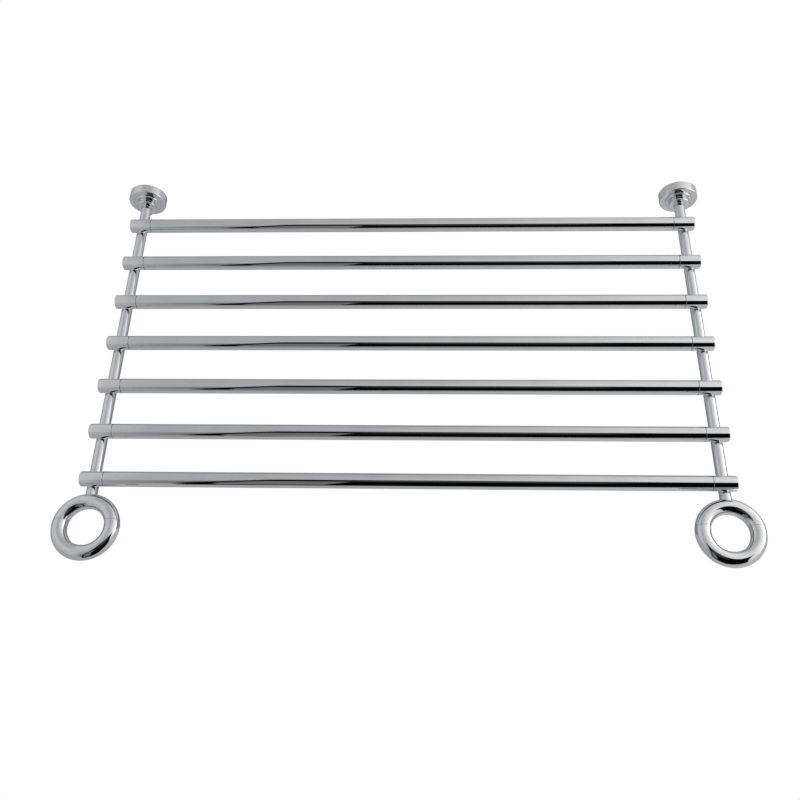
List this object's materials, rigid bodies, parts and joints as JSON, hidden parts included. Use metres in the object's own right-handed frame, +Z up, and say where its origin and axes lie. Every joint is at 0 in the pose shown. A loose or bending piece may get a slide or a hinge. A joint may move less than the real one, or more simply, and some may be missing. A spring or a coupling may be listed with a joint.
{
  "type": "multi-bar towel rack",
  "caption": "Chromed towel rack: parallel bars with turned ends on two side rails, stepped wall flanges behind, and a split ring for a leg in front of each rail.",
  "frame": {"origin": "on the wall face, midway between the two flanges, level with the axes of the side rails", "axes": "+X along the bars to the right as seen from the front, +Y into the wall, +Z up"},
  "size_m": [0.8586, 0.5515, 0.0526],
  "materials": {
    "bar_chrome": "polished chrome plate",
    "fitting_chrome": "polished chrome plate",
    "rail_chrome": "polished chrome plate",
    "flange_chrome": "polished chrome plate",
    "ring_chrome": "polished chrome plate",
    "plate_steel": "zinc plated steel",
    "screw_steel": "stainless steel"
  },
  "bodies": {
    "rack": {"bar_tube_1": "bar_chrome", "bar_tube_2": "bar_chrome", "bar_tube_3": "bar_chrome", "bar_tube_4": "bar_chrome", "bar_tube_5": "bar_chrome", "bar_tube_6": "bar_chrome", "bar_tube_7": "bar_chrome", "end_fitting_left_1": "fitting_chrome", "end_fitting_left_2": "fitting_chrome", "end_fitting_left_3": "fitting_chrome", "end_fitting_left_4": "fitting_chrome", "end_fitting_left_5": "fitting_chrome", "end_fitting_left_6": "fitting_chrome", "end_fitting_left_7": "fitting_chrome", "end_fitting_right_1": "fitting_chrome", "end_fitting_right_2": "fitting_chrome", "end_fitting_right_3": "fitting_chrome", "end_fitting_right_4": "fitting_chrome", "end_fitting_right_5": "fitting_chrome", "end_fitting_right_6": "fitting_chrome", "end_fitting_right_7": "fitting_chrome", "side_rail_left": "rail_chrome", "side_rail_right": "rail_chrome", "flange_cover_left": "flange_chrome", "flange_cover_right": "flange_chrome", "wall_plate_left": "plate_steel", "wall_plate_right": "plate_steel", "ring_rear_left": "ring_chrome", "ring_rear_right": "ring_chrome", "bar_screws": "screw_steel", "flange_screws": "screw_steel", "plate_screws": "screw_steel", "ring_rail_screws": "screw_steel", "ring_lock_screws": "screw_steel"},
    "left_ring_front": {"ring_front_left": "ring_chrome", "ring_dowels_left": "screw_steel"},
    "right_ring_front": {"ring_front_right": "ring_chrome", "ring_dowels_right": "screw_steel"}
  },
  "joints": [
    {"name": "left_ring_draw", "type": "slide", "parent": "rack", "child": "left_ring_front", "axis": [0, -1, 0], "range_m": [0, 0.06]},
    {"name": "right_ring_draw", "type": "slide", "parent": "rack", "child": "right_ring_front", "axis": [0, -1, 0], "range_m": [0, 0.06]}
  ]
}
